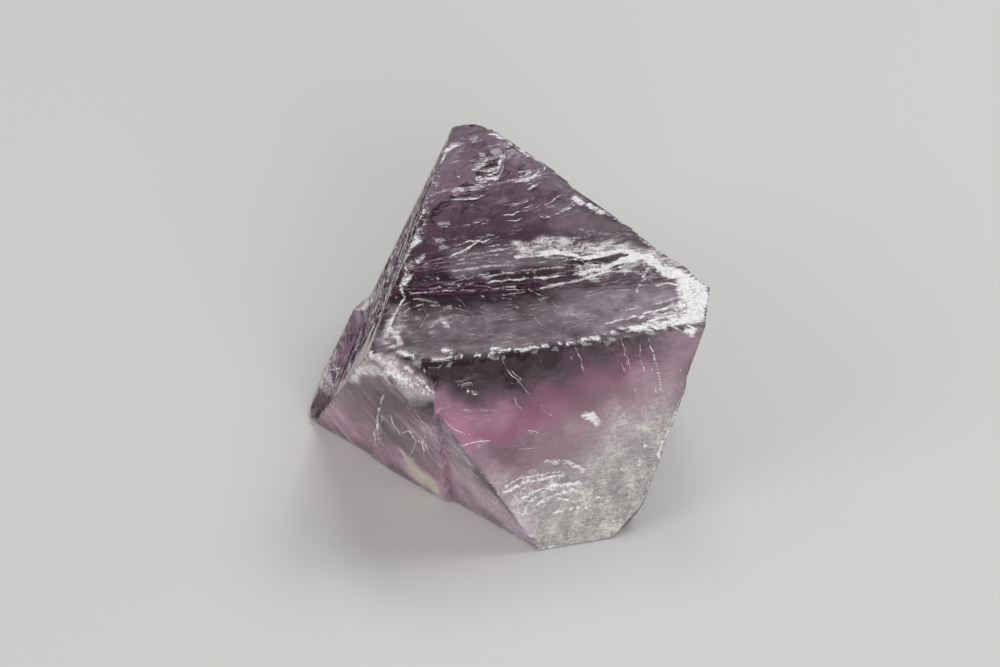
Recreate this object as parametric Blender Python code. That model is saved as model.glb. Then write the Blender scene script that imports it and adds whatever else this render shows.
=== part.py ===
"""Fluorite octahedron: one crystal, cleaved on eight faces, lying on the bottom one.

Metres, +Z up. The block is a cube trimmed by the cleavage planes, then its broken corners and edges are
knocked off, and last the thin flakes that have come away from its faces are cut out.
"""

import math

import bmesh
import bpy
from mathutils import Matrix, Vector

MM = 0.001

CRYSTAL = "fluorite_octahedron"
ROUGH_BLOCK = 60 * MM  # the cube that the crystal and its cutters are trimmed from

# Each cleavage face: azimuth and elevation of its outward normal in degrees, distance from the crystal's
# axis at the base in mm. A regular octahedron lying on a face has its sides 60 degrees apart and 19.5
# degrees off upright, and this one comes within a few degrees of that.
CLEAVAGE_FACES = {
    "bottom": (0, -90, 0.0),
    "top": (-67, 88.5, 16.3),
    "front": (-74, 17.5, 14.95),
    "back_right": (42.5, 19, 13.85),
    "left": (169.5, 23, 13.7),
    "left_front": (-130, -18, 10.1),
    "right": (-5.5, -17, 10.4),
    "back_left": (109.5, -20, 9.1),
}

# Corners and edges that broke off: azimuth and elevation of the break in degrees, its distance in mm.
BROKEN_CORNERS = {
    "front_left_tip": (-110, 15, 17.4),
    "right_tip": (25, 40, 19.1),
    "left_tip": (185, -35, 12.0),
    "front_toe": (-35.5, -24.5, 13.4),
    "rear_tip": (75, 48, 21.7),
}

# Flakes that came away: the face they left, their thickness in mm, then azimuth and elevation in degrees
# and distance in mm of the riser that they broke along. The flake lay beyond the riser.
FLAKES = {
    "top_first_step": ("top", 0.20, (287.5, 27, 0.1)),
    "top_second_step": ("top", 0.35, (286, 27, 7.4)),
    "top_third_step": ("top", 0.55, (278, 27, 10.0)),
    "left_step": ("left", 0.70, (261, 64.5, 1.9)),
    "left_front_step": ("left_front", 0.35, (165.5, 10.5, 7.9)),
    "left_front_toe": ("left_front", 0.50, (303.5, -14, 5.8)),
    "right_step": ("right", 0.25, (-5.5, 53, 16.75)),
    "back_right_step": ("back_right", 0.30, (-40, 25, 5.0)),
    "back_left_step": ("back_left", 0.40, (160, 35, 11.5)),
}


def direction(azimuth, elevation):
    """The unit vector that points this way, both in degrees."""
    turn, lift = math.radians(azimuth), math.radians(elevation)
    return Vector((math.cos(turn) * math.cos(lift), math.sin(turn) * math.cos(lift), math.sin(lift)))


def collection(name):
    """A new collection in the scene."""
    made = bpy.data.collections.new(name)
    bpy.context.scene.collection.children.link(made)
    return made


def rough_block():
    """A cube around the crystal, as a bmesh."""
    block = bmesh.new()
    bmesh.ops.create_cube(block, size=ROUGH_BLOCK)
    return block


def cleave(block, normal, distance):
    """Cuts away what lies beyond the plane, and closes the face that this leaves."""
    cut = bmesh.ops.bisect_plane(
        block,
        geom=block.verts[:] + block.edges[:] + block.faces[:],
        plane_co=normal * distance,
        plane_no=normal,
        clear_outer=True,
    )
    rim = [item for item in cut["geom_cut"] if isinstance(item, bmesh.types.BMEdge)]
    if rim:
        bmesh.ops.edgeloop_fill(block, edges=rim)


def finished_mesh(block, name):
    """The block as a mesh with its faces pointing outwards."""
    bmesh.ops.recalc_face_normals(block, faces=block.faces[:])
    mesh = bpy.data.meshes.new(name)
    block.to_mesh(mesh)
    block.free()
    return mesh


def fluorite_material():
    """Clear mauve fluorite, cleaved: glassy, with the stone's low refractive index."""
    material = bpy.data.materials.new("cleaved_fluorite")
    material.use_nodes = True
    shader = material.node_tree.nodes["Principled BSDF"]
    shader.inputs["Base Color"].default_value = (0.36, 0.23, 0.33, 1.0)
    shader.inputs["Roughness"].default_value = 0.15
    shader.inputs["Metallic"].default_value = 0.0
    shader.inputs["IOR"].default_value = 1.434
    return material


def crystal_object(parts):
    """The crystal with its faces and its broken corners, still without the steps on its faces."""
    block = rough_block()
    for azimuth, elevation, distance in (*CLEAVAGE_FACES.values(), *BROKEN_CORNERS.values()):
        cleave(block, direction(azimuth, elevation), distance * MM)
    crystal = bpy.data.objects.new(CRYSTAL, finished_mesh(block, CRYSTAL))
    crystal.data.materials.append(fluorite_material())
    parts.objects.link(crystal)
    return crystal


def flake_cutter(name, cutters, face, thickness, riser):
    """The space that a flake filled: above the face that it left, and beyond its riser."""
    azimuth, elevation, distance = CLEAVAGE_FACES[face]
    block = rough_block()
    cleave(block, -direction(azimuth, elevation), (thickness - distance) * MM)
    cleave(block, -direction(*riser[:2]), -riser[2] * MM)
    cutter = bpy.data.objects.new(f"flake_{name}", finished_mesh(block, name))
    cutter.hide_render = True
    cutter.display_type = "WIRE"
    cutters.objects.link(cutter)
    return cutter


def cut_flakes(crystal, cutters):
    """Takes every flake out of the crystal."""
    for name, (face, thickness, riser) in FLAKES.items():
        modifier = crystal.modifiers.new(name, "BOOLEAN")
        modifier.operation = "DIFFERENCE"
        modifier.solver = "EXACT"
        modifier.object = flake_cutter(name, cutters, face, thickness, riser)


def stand_on_origin(crystal, cutters):
    """Moves the crystal and its cutters so that the origin is under the middle of its box."""
    evaluated = crystal.evaluated_get(bpy.context.evaluated_depsgraph_get())
    corners = [Vector(corner) for corner in evaluated.bound_box]
    low = Vector(map(min, zip(*corners)))
    high = Vector(map(max, zip(*corners)))
    middle = (low + high) / 2
    shift = Matrix.Translation((-middle.x, -middle.y, -low.z))
    for piece in (crystal, *cutters.objects):
        piece.data.transform(shift)


def main():
    for leftover in list(bpy.data.objects):
        bpy.data.objects.remove(leftover)
    parts = collection("fluorite octahedron")
    cutters = collection("cutters")
    crystal = crystal_object(parts)
    cut_flakes(crystal, cutters)
    bpy.context.view_layer.update()
    stand_on_origin(crystal, cutters)


main()
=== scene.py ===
"""Finishes the fluorite octahedron: its cleaved surface, what is sealed in it, and a studio around it."""

import functools
import math

import bpy
import numpy as np
from bpy.props import FloatProperty, FloatVectorProperty, PointerProperty
from bpy.types import Operator, Panel, PropertyGroup
from mathutils import Matrix, Vector
from mathutils.geometry import delaunay_2d_cdt


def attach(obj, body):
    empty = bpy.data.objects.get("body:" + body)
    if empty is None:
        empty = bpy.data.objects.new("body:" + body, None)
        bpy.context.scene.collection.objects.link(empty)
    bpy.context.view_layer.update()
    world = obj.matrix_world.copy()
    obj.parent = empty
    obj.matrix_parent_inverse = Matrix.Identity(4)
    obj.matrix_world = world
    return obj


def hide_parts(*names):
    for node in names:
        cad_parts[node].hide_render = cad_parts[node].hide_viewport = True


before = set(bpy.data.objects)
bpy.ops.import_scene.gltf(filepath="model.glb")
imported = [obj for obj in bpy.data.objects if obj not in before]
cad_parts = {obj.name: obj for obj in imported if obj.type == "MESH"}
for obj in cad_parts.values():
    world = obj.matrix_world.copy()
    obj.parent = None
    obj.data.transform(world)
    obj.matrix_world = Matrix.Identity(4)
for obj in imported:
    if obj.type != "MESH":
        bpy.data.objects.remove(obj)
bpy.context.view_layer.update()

bl_info = {
    "name": "Fluorite Octahedron",
    "version": (1, 0, 0),
    "blender": (4, 5, 0),
    "location": "3D Viewport > Sidebar > Fluorite",
    "description": "Builds the cleaved surface, the inner cracks and the studio of a fluorite octahedron",
    "category": "Add Mesh",
}

MM = 0.001
NODE = "fluorite_octahedron"
BODY = "root"
SEED = 11

# The camera, and the frame of 1000 by 667 points in which the visible features are placed.
VIEW_WIDTH, VIEW_HEIGHT = 1000.0, 667.0
VIEW_TARGET = np.array([-0.49, 0.156, 8.0])  # mm, the point that the camera turns about
VIEW_ELEVATION = 38.37  # degrees above the horizon
VIEW_ROLL = -1.083  # degrees
VIEW_DISTANCE = 315.8  # mm
SENSOR_WIDTH = 36.0  # mm
LENS = 150.4  # mm

# Cleavage faces and broken corners: azimuth and elevation of the outward normal, then those of the grain,
# the way that the steps on the face run. Their distances are measured on the CAD solid.
FACES = {
    "bottom": (0, -90, 30, 0),
    "top": (-67, 88.5, 16, 0),
    "front": (-74, 17.5, 16, 0),
    "back_right": (42.5, 19, 132, 0),
    "left": (169.5, 23, 78, 3),
    "left_front": (-130, -18, -60, -50),
    "right": (-5.5, -17, 75, -40),
    "back_left": (109.5, -20, 60, 45),
    "front_left_tip": (-110, 15, 40, -60),
    "right_tip": (25, 40, 115, 0),
    "left_tip": (185, -35, 80, 0),
    "front_toe": (-35.5, -24.5, 54, 0),
    "rear_tip": (75, 48, 165, 0),
}
RISER = 0.03  # mm, how wide the riser of a small step is across the face
RISER_FADE = 0.04  # mm, how far its whiteness reaches to both sides
LINE_SPACING = 0.16  # mm between the points of a marked step
SOWN_SPACING = 0.34  # mm between the points of a sown step
FEWEST_POINTS = 3  # of a step that is worth keeping
WAVER = 0.03  # mm, how far a small step wavers
WAVER_LENGTH = 0.4  # mm between the knots of a waver
STEP_TAPER = 0.25  # the share of a step at each end over which it dies out
STEP_ROOM = 4  # reaches after which a face has climbed back from a step
NO_CLIMB = 1e6  # mm, the reach of a flake's riser, behind which the face stays down
SPLINTER_SPACING = 0.8  # mm of a marked step to each lesser one
SPLINTER_SCATTER = 0.32  # mm that the lesser steps lie off the marked one
STRIDE = 0.35  # mm that a sown line runs between two bends
START_MARGIN = 0.2  # mm inside the outline where a sown line may start
STOP_MARGIN = 0.12  # mm inside the outline where it stops
FLAKE_SPAN = 30.0  # mm, half the length of a flake's riser before it is cut at the outline
FLAKE_SPACING = 0.2  # mm between its points
FLAKE_OVERRUN = 2.5  # mm that it reaches past the outline
FACE_SPAN = 40.0  # mm, half a square that covers any face
DEPTH_TRIALS = 41  # depths at which a ray is tested for the surface under the missing flakes
TINY = 1e-6  # mm
STROKE_EDGE = 1.5  # widths from a stroke's middle where it has faded out; it is full to a third of that
ROW_MARGIN = 0.05  # mm inside a face's rim, from which its mesh follows the steps
RINGS = (0.1, 0.24, 0.42)  # mm inside a face's rim, where rings of mesh points lie
RING_GAP, GRID_GAP, CRUSH_GAP = 0.05, 0.09, 0.07  # mm from mesh points of each kind to those on steps
ROW_RATIO = 0.866  # the height of an even triangle of side one
NEAR_FACE = 1.9  # mm under a face, within which its steps can cut
SHARED = 0.04  # mm, where two faces cut this alike both paint the surface
NEAR_RIDGE = 1.6  # mm from a ridge, within which it can be nibbled
NEAR_CORNER = 1.8  # mm from a corner, within which it can be worn
LEAST_CUT = 1e-4  # mm
CONVEX, MERGED = 1, 1e-5  # triangles for the whole hull, and mm within which two points are one
FACE_GAP = 37.0  # mm between the faces in the grain map
MIDDLE = np.array([0.0, 0.0, 8.2])  # mm, a point inside that sees the whole surface

# The flakes missing from each face of the CAD solid: thickness in mm, the number of risers that it ends in,
# and the azimuth, elevation and distance in mm of the riser that it stops at.
FLAKES = {
    "top": (
        (0.2, 2, (287.5, 27, 0.07)),
        (0.35, 3, (286, 27, 7.37)),
        (0.55, 4, (278, 27, 9.96)),
    ),
    "left": (
        (0.7, 1, (261, 64.5, 1.88)),
    ),
    "left_front": (
        (0.35, 3, (165.5, 10.5, 7.91)),
        (0.5, 1, (303.5, -14, 5.77)),
    ),
    "right": (
        (0.25, 2, (-5.5, 53, 16.75)),
    ),
    "back_right": (
        (0.3, 2, (-40, 25, 4.98)),
    ),
    "back_left": (
        (0.4, 3, (160, 35, 11.51)),
    ),
}

# Which way the steps run at places of the visible faces: place in the view, then degrees above its level.
FLOW = {
    "top": (
        (450, 195, 4), (520, 180, 18), (560, 215, 22), (480, 262, 10), (590, 250, 10), (640, 268, 4),
        (470, 300, -20), (530, 310, -42), (600, 300, 12), (660, 300, 16), (640, 325, 8), (430, 330, 30),
    ),
    "front": (
        (470, 380, -68), (530, 370, -66), (600, 355, -76), (660, 350, -78), (480, 440, -20), (520, 500, 18),
        (590, 470, 12), (640, 440, -60), (500, 520, -52), (570, 520, 8),
    ),
    "left_front": (
        (400, 410, -62), (440, 440, -58), (380, 430, -70), (350, 400, -28), (440, 480, -42), (500, 520, -36),
    ),
}

# Lines of broken steps that show on each face: height in mm, then places in the view.
STEP_LINES = {
    "top": (
        (0.1, ((444, 192), (460, 189), (484, 187))),
        (0.05, ((446, 199), (465, 198), (487, 195))),
        (0.07, ((510, 183), (522, 179), (534, 176), (542, 170))),
        (0.09, ((525, 190), (532, 184), (540, 181))),
        (0.05, ((516, 178), (526, 173), (534, 171))),
        (0.05, ((508, 208), (518, 203), (534, 198))),
        (0.05, ((500, 216), (512, 214), (522, 209))),
        (0.06, ((540, 207), (552, 200), (562, 194))),
        (0.05, ((470, 223), (484, 220), (492, 221))),
        (0.05, ((452, 247), (470, 240), (486, 241), (500, 236))),
        (0.07, ((536, 219), (550, 216), (565, 209), (580, 200))),
        (0.09, ((446, 261), (466, 247.6), (484, 237))),
        (0.07, ((486, 246), (498, 244.5), (512, 244.5))),
        (0.14, ((436, 272), (457, 269.4), (483, 265), (506, 264.8), (526, 262))),
        (0.16, (
            (412, 282), (449, 284), (462, 278), (487, 275), (523, 269.4), (560, 266), (600, 266),
            (640, 262),
        )),
        (0.08, ((490, 287), (508, 288), (527, 289))),
        (0.06, ((498, 297), (507, 298.5), (517, 300))),
        (0.06, ((500, 302), (520, 308), (535, 318), (552, 335))),
        (0.12, ((512, 256.7), (524, 248), (534, 240.7), (566, 240.5), (588, 247), (609, 247), (626, 233))),
        (0.12, ((516, 257), (540, 255), (584, 259), (592, 275), (620, 269), (643, 273), (660, 284))),
        (0.08, ((543, 278), (566, 270), (592, 261))),
        (0.08, ((538, 291), (564, 283), (592, 274))),
        (0.1, ((476, 170), (490, 168), (504, 165))),
        (0.08, ((455, 297), (461, 301), (467, 308))),
        (0.08, ((459, 314), (463, 318), (468, 324))),
        (0.12, ((470, 163), (486, 158), (505, 150), (503, 165), (500, 176), (478, 179), (470, 164))),
        (0.1, ((398, 318), (408, 308), (422, 303), (426, 314), (418, 330), (402, 337))),
    ),
    "front": (
        (0.06, ((498, 352), (506, 368), (519, 382), (532, 396))),
        (0.05, ((574, 343), (580, 358), (585, 376))),
        (0.05, ((619, 334), (626, 350), (631, 372))),
        (0.05, ((646, 334), (655, 358), (661, 380), (664, 402))),
        (0.05, ((640, 338), (641, 358), (647, 382))),
        (0.06, ((455, 389), (460, 384), (467, 382), (475, 385))),
        (0.1, ((506, 487), (520, 480), (536, 477), (562, 472))),
        (0.05, ((510, 492), (528, 484), (548, 481), (572, 478))),
        (0.07, ((520, 504), (534, 494), (552, 489), (576, 484))),
        (0.06, ((504, 492), (514, 478), (530, 471), (548, 470))),
        (0.05, ((536, 512), (542, 502), (556, 496), (570, 492))),
        (0.05, ((524, 516), (528, 506), (538, 498))),
        (0.06, ((552, 466), (566, 461), (580, 466), (588, 474))),
        (0.05, ((455, 412), (475, 410), (500, 411))),
        (0.06, ((462, 446), (478, 444), (494, 442))),
        (0.05, ((524, 430), (534, 430), (540, 434))),
        (0.06, ((646, 472), (652, 470), (658, 470))),
        (0.05, ((600, 500), (616, 486), (628, 468))),
        (0.05, ((584, 470), (598, 462), (616, 456), (630, 446))),
        (0.08, ((586, 414), (593, 412), (600, 421), (592, 425))),
    ),
    "left_front": (
        (0.1, ((384, 393), (378, 408), (382, 420), (373, 434), (377, 452), (386, 462))),
        (0.08, ((424, 428), (422, 446), (425, 464))),
        (0.07, ((398, 436), (408, 430), (416, 442), (408, 460), (400, 452))),
        (0.08, ((326, 402), (331, 406), (335, 403))),
    ),
}

# Where the surface is not clear, by what it is there and its face: width in mm, strength and run in the
# view. The glow strokes paint a pink glow of light gathered inside, the shade strokes paint shade, and
# the crush strokes paint crushed white that also stands for painted glints.
STROKES = {
    # Crushed white on the top; along the white band and at the right corner it also stands for painted
    # glints of the lights.
    ("crush", "top"): (
        (0.14, 0.9, ((516, 256.5), (527, 256), (544, 253), (566, 253), (588, 257))),
        (0.2, 1.4, ((544, 253), (556, 252), (566, 253), (582, 256))),
        (0.28, 1.4, ((588, 257), (605, 253), (623, 250), (636, 253), (650, 256))),
        (0.45, 1.3, ((636, 256), (650, 259), (664, 268), (680, 274), (700, 286))),
        (0.12, 0.9, ((544, 277), (566, 274), (588, 270), (623, 260))),
        (0.24, 1.4, ((584, 272), (604, 267), (623, 260), (640, 258))),
        (0.1, 0.9, ((541, 288), (560, 284), (584, 278), (612, 270))),
        (0.8, 0.62, ((520, 248), (545, 245), (575, 246), (600, 249), (622, 246))),
        (1.1, 0.7, ((640, 252), (665, 262), (690, 275), (706, 290))),
        (0.7, 0.62, ((580, 268), (620, 264), (650, 264))),
        (0.1, 0.9, ((636, 328), (660, 316), (690, 304))),
        (0.1, 1.0, ((640, 318), (664, 308), (692, 298))),
        (0.08, 1.0, ((606, 324), (650, 312), (692, 302))),
        (0.08, 1.0, ((612, 331), (650, 321), (690, 310))),
        (0.07, 0.8, ((620, 312), (655, 304), (690, 295))),
        (0.14, 0.9, ((656, 286), (668, 283), (684, 286))),
        (0.12, 0.8, ((648, 268), (644, 280), (636, 292))),
        (1.3, 1.6, ((692, 286), (702, 300), (704, 312))),
        (1.0, 0.55, ((662, 318), (676, 312), (694, 304))),
        (0.34, 1.4, ((634, 329), (660, 326), (692, 320))),
        (0.16, 0.75, ((590, 337), (620, 332), (640, 328))),
        (0.22, 0.9, ((432, 360), (470, 356), (500, 352), (550, 345), (600, 338))),
        (0.35, 0.8, ((387, 345), (398, 350), (412, 357), (422, 359))),
        (0.3, 0.7, ((390, 328), (396, 334), (400, 345))),
        (0.7, 0.42, ((384, 346), (394, 336), (402, 318))),
        (0.05, 1.0, ((428, 288), (470, 283), (520, 279), (560, 275))),
        (0.05, 0.9, ((424, 280), (460, 276), (500, 272), (540, 270))),
        (0.04, 0.9, ((418, 293), (450, 290), (480, 290), (516, 286))),
        (0.04, 0.8, ((480, 296), (520, 292), (560, 284), (600, 276))),
        (0.3, 0.9, ((446, 351), (452, 352))),
        (0.3, 0.9, ((494, 348), (500, 349))),
        (0.1, 0.8, ((384, 345), (392, 320), (404, 278), (414, 240))),
        (0.18, 1.0, ((412, 244), (426, 198), (437, 168), (446, 148))),
        (0.08, 0.6, ((402, 290), (410, 266), (420, 236), (430, 206), (440, 176))),
        (0.3, 0.9, ((412, 246), (418, 240))),
        (0.25, 0.9, ((404, 284), (410, 276))),
        (0.2, 0.7, ((416, 262), (424, 256))),
        (0.14, 0.35, ((402, 322), (410, 290), (420, 250), (432, 205))),
        (0.4, 0.6, ((474, 166), (490, 158), (503, 154))),
        (0.1, 1.0, ((476, 177), (488, 174), (498, 168), (502, 156))),
        (0.2, 1.0, ((446, 150), (452, 146), (457, 145))),
        (0.25, 1.0, ((492, 133), (500, 137))),
        (0.06, 0.9, ((499, 135), (520, 149), (548, 172))),
        (0.05, 0.7, ((505, 143), (522, 156), (542, 174))),
        (0.15, 0.7, ((600, 210), (640, 236), (670, 256))),
        (0.25, 0.9, ((574, 197), (582, 202))),
        (0.3, 0.9, ((590, 205), (600, 212))),
        (0.35, 0.7, ((592, 276), (600, 280))),
        (0.3, 0.6, ((440, 318), (448, 326))),
    ),
    # Milky haze on the top. The broad haze towards the right corner also stands for a painted reflection.
    ("haze", "top"): (
        (2.2, 1.0, ((688, 290), (700, 305))),
        (0.9, 0.65, ((400, 350), (430, 352), (500, 344), (560, 336))),
        (1.0, 0.6, ((384, 346), (394, 332), (400, 310))),
        (1.2, 0.95, ((650, 300), (672, 296), (692, 296))),
        (0.9, 0.6, ((460, 268), (500, 262), (560, 258))),
        (4.0, 0.8, ((600, 310), (650, 300), (690, 300))),
        (2.5, 0.55, ((420, 330), (470, 330), (520, 325), (580, 312))),
        (1.5, 0.45, ((450, 345), (540, 335), (620, 322))),
        (2.0, 0.45, ((570, 215), (620, 235), (660, 260))),
        (1.2, 0.45, ((460, 262), (500, 256), (560, 248))),
        (1.0, 0.5, ((500, 140), (540, 168), (580, 198))),
    ),
    # Painted shade at the tip of the top.
    ("shade", "top"): (
        (3.2, 0.95, ((452, 126), (475, 132), (490, 142))),
    ),
    # Crushed white on the front; at the right corner it also stands for painted glints.
    ("crush", "front"): (
        (0.6, 1.4, ((693, 326), (699, 318))),
        (0.14, 0.9, ((430, 361), (470, 358), (500, 354), (560, 345), (640, 334))),
        (0.2, 1.0, ((660, 454), (666, 446))),
        (0.12, 0.9, ((502, 493), (508, 491))),
        (0.12, 0.9, ((508, 416), (513, 416))),
        (0.3, 0.9, ((586, 416), (592, 414), (598, 422))),
        (0.1, 0.8, ((506, 487), (520, 480), (540, 476), (562, 472))),
        (0.25, 0.6, ((548, 463), (566, 461), (584, 470))),
        (0.08, 0.8, ((646, 446), (634, 474), (616, 500))),
        (0.07, 0.8, ((560, 500), (584, 504), (606, 494))),
        (0.1, 1.0, ((508, 492), (524, 484), (544, 480), (566, 476))),
        (0.1, 1.0, ((522, 500), (540, 491), (560, 487), (580, 483))),
        (0.09, 0.9, ((534, 510), (546, 500), (562, 494), (578, 491))),
        (0.08, 0.9, ((524, 516), (528, 504), (540, 496), (556, 490))),
        (0.08, 0.8, ((548, 516), (566, 510), (590, 508))),
        (0.9, 0.4, ((520, 500), (545, 492), (575, 486))),
        (0.5, 0.3, ((452, 408), (470, 420), (500, 420))),
        (0.4, 0.3, ((480, 444), (500, 446), (530, 440))),
        (0.05, 0.8, ((457, 392), (464, 390), (472, 392), (480, 397))),
        (0.05, 0.8, ((456, 447), (474, 443), (494, 440))),
        (0.04, 0.7, ((460, 436), (480, 434), (500, 430))),
    ),
    ("frost", "front"): (
        (1.6, 1.0, ((510, 514), (540, 530), (590, 530), (630, 506))),
        (3.8, 0.95, ((645, 450), (620, 490), (590, 525), (560, 535))),
        (2.4, 0.4, ((640, 425), (590, 465), (540, 505))),
        (2.4, 0.34, ((556, 454), (604, 442), (652, 402))),
        (1.6, 0.55, ((500, 490), (560, 480), (600, 470))),
    ),
    ("haze", "front"): (
        (2.2, 0.35, ((600, 430), (640, 410), (665, 380))),
        (2.0, 0.6, ((660, 380), (680, 340), (690, 325))),
        (1.5, 0.55, ((460, 450), (480, 480), (520, 520))),
        (1.0, 0.5, ((444, 404), (456, 424), (474, 450))),
        (1.0, 0.45, ((452, 414), (474, 420), (500, 416))),
    ),
    # Painted glow: pink where light gathers inside under the front.
    ("glow", "front"): (
        (3.2, 0.45, ((600, 400), (650, 380), (675, 350))),
        (2.2, 0.85, ((455, 418), (480, 426), (520, 418), (550, 404))),
        (1.8, 0.7, ((530, 408), (580, 384), (640, 364))),
        (3.0, 0.5, ((480, 446), (510, 456), (560, 430))),
        (1.2, 0.95, ((446, 402), (456, 420), (470, 442))),
    ),
    # Painted shade: the dark purple band under the upper ridge of the front.
    ("shade", "front"): (
        (2.4, 0.75, ((434, 374), (470, 378), (520, 372), (560, 362))),
        (1.6, 0.6, ((540, 360), (600, 352), (650, 342))),
    ),
    ("crush", "left_front"): (
        (0.12, 0.8, ((384, 394), (378, 410), (376, 430), (380, 450))),
        (0.6, 0.62, ((350, 380), (360, 370), (378, 372), (396, 380), (402, 384))),
        (0.12, 0.6, ((402, 384), (416, 392), (428, 402))),
        (0.5, 0.4, ((440, 420), (466, 460), (500, 506))),
        (0.14, 0.8, ((370, 350), (356, 367), (342, 384))),
    ),
    ("haze", "left_front"): (
        (0.9, 0.6, ((404, 400), (420, 412), (428, 420))),
        (2.0, 0.85, ((330, 414), (380, 446), (430, 482), (490, 520))),
        (2.0, 1.0, ((436, 436), (466, 480), (516, 530))),
    ),
    ("frost", "left_front"): (
        (1.4, 0.5, ((460, 478), (500, 512), (530, 534))),
        (0.6, 0.7, ((352, 376), (362, 368), (380, 372), (398, 382))),
    ),
    # Painted glow on the lower part of the front left face.
    ("glow", "left_front"): (
        (2.4, 0.7, ((330, 415), (380, 446), (440, 482))),
        (1.8, 0.5, ((420, 430), (450, 470), (490, 506))),
    ),
    # Painted shade on the upper part of the front left face.
    ("shade", "left_front"): (
        (1.6, 0.8, ((350, 388), (390, 400), (426, 416))),
    ),
    ("cream", "left_front"): (
        (0.3, 1.0, ((402, 452), (408, 462))),
        (1.0, 1.0, ((412, 466), (422, 478), (434, 488))),
        (0.35, 0.9, ((367, 355), (361, 363), (355, 371))),
    ),
    ("cream", "front_left_tip"): (
        (0.5, 1.0, ((366, 362), (372, 350), (377, 343))),
    ),
    ("crush", "front_left_tip"): (
        (0.4, 1.2, ((366, 361), (371, 352), (378, 343))),
        (0.9, 0.55, ((368, 364), (382, 368), (396, 376))),
        (0.08, 1.1, ((396, 362), (410, 371), (424, 384), (433, 394))),
        (0.1, 1.1, ((392, 374), (404, 380), (416, 388), (427, 397))),
        (0.05, 0.9, ((400, 372), (414, 382), (428, 394))),
        (0.35, 0.8, ((380, 370), (390, 374), (400, 378))),
    ),
    ("frost", "front_left_tip"): (
        (1.0, 0.75, ((368, 358), (384, 366), (402, 378), (420, 390))),
    ),
    ("haze", "front_left_tip"): (
        (0.7, 0.9, ((376, 356), (396, 370), (416, 384), (430, 394))),
    ),
    # Painted shade on the broken tip, like the dark band on the front.
    ("shade", "front_left_tip"): (
        (0.9, 1.0, ((404, 358), (418, 364), (430, 374), (436, 388))),
        (0.5, 1.0, ((412, 362), (430, 364))),
    ),
    ("crush", "left"): (
        (0.6, 0.8, ((406, 283), (401, 295), (397, 304))),
        (0.7, 0.9, ((372, 354), (366, 362), (354, 376))),
        (0.25, 1.2, ((362, 308), (365, 302))),
    ),
    ("cream", "left"): (
        (0.7, 0.9, ((376, 346), (372, 352), (367, 360))),
    ),
    # Painted shade over the inner part of the left face.
    ("shade", "left"): (
        (5.0, 0.8, ((432, 175), (404, 250), (380, 310), (352, 362), (332, 390))),
    ),
    ("haze", "left"): (
        (1.0, 0.35, ((366, 304), (352, 324), (336, 352), (322, 384), (316, 404))),
    ),
    # Painted glow along the outer wall of the left face.
    ("glow", "left"): (
        (1.0, 0.5, ((366, 304), (352, 324), (336, 352), (322, 384), (316, 404))),
    ),
}

# What is spread over a whole face, and how strongly.
FACE_TONES = {
    ("left", "long"): 1.3,
    ("back_left", "long"): 0.5,
    ("back_right", "long"): 0.45,
    ("right", "long"): 0.5,
    ("top", "streaks"): 0.6,
    ("left", "streaks"): 1.0,
    ("left_front", "streaks"): 0.6,
    ("left_front", "long"): 0.5,
    ("front", "streaks"): 0.12,
    ("left_tip", "streaks"): 0.2,
    ("front_left_tip", "streaks"): 0.3,
    ("back_right", "streaks"): 0.7,
    ("back_left", "streaks"): 0.7,
    ("right", "streaks"): 0.7,
    ("bottom", "streaks"): 0.5,
    ("top", "haze"): 0.04,
    # Painted shade over the whole top.
    ("top", "shade"): 0.42,
    ("front", "haze"): 0.06,
    ("left_front", "haze"): 0.4,
    ("left", "haze"): 0.1,
    ("left_tip", "haze"): 0.5,
    ("front_left_tip", "haze"): 0.15,
    ("back_right", "haze"): 0.2,
    ("back_left", "haze"): 0.2,
    ("right", "haze"): 0.25,
    ("bottom", "haze"): 0.2,
}
# The glow mask paints a glow of light, the shade mask paints shade, and the crush mask paints crushed white
# that also stands for glints.
MASKS = ("streaks", "long", "crush", "haze", "frost", "glow", "shade", "cream", "line")

# Noises of the finish that are drawn out along the grain: how many to a mm along it and across it, then
# detail and roughness.
GRAIN_NOISES = {
    "fine": (0.8, 8.0, 3.0, 0.6),
    "wide": (0.5, 1.3, 4.0, 0.6),
    "relief": (0.28, 0.9, 2.0, 0.5),
    "long": (0.12, 0.8, 3.0, 0.7),
}
# Noises of the finish that are the same all ways: size in mm, detail and roughness. Crushed grains are about
# 0.15 mm, drawn at 0.2 mm so that they show.
PLACE_NOISES = {
    "patch": (3.5, 2.0, 0.5),
    "cloud": (1.1, 4.0, 0.65),
    "speckle": (0.2, 2.0, 0.65),
}

# Hairline cracks under each face: places in the view.
HAIRLINES = {
    "front": (
        ((500, 356), (508, 370), (520, 384), (534, 398)),
        ((572, 344), (579, 356), (583, 366), (586, 378)),
        ((617, 336), (624, 350), (629, 362), (632, 374)),
        ((644, 336), (654, 356), (660, 378), (664, 404)),
        ((640, 340), (642, 360), (648, 384)),
        ((540, 352), (546, 364), (551, 372)),
        ((600, 342), (604, 352), (610, 362)),
        ((470, 366), (484, 384), (492, 396)),
        ((560, 450), (580, 444), (606, 440)),
        ((590, 500), (604, 470), (626, 452)),
    ),
    "left_front": (
        ((384, 395), (378, 410), (381, 420), (374, 436), (378, 452)),
        ((404, 402), (412, 420), (408, 440), (402, 452)),
        ((426, 432), (424, 448), (428, 462)),
    ),
    "top": (
        ((505, 306), (520, 310), (534, 320), (550, 336)),
        ((404, 322), (414, 310), (424, 304)),
        ((418, 332), (426, 318), (424, 306)),
        ((452, 294), (460, 300), (468, 309)),
        ((516, 212), (532, 208), (548, 198)),
        ((570, 288), (590, 280), (600, 276)),
    ),
}
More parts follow.
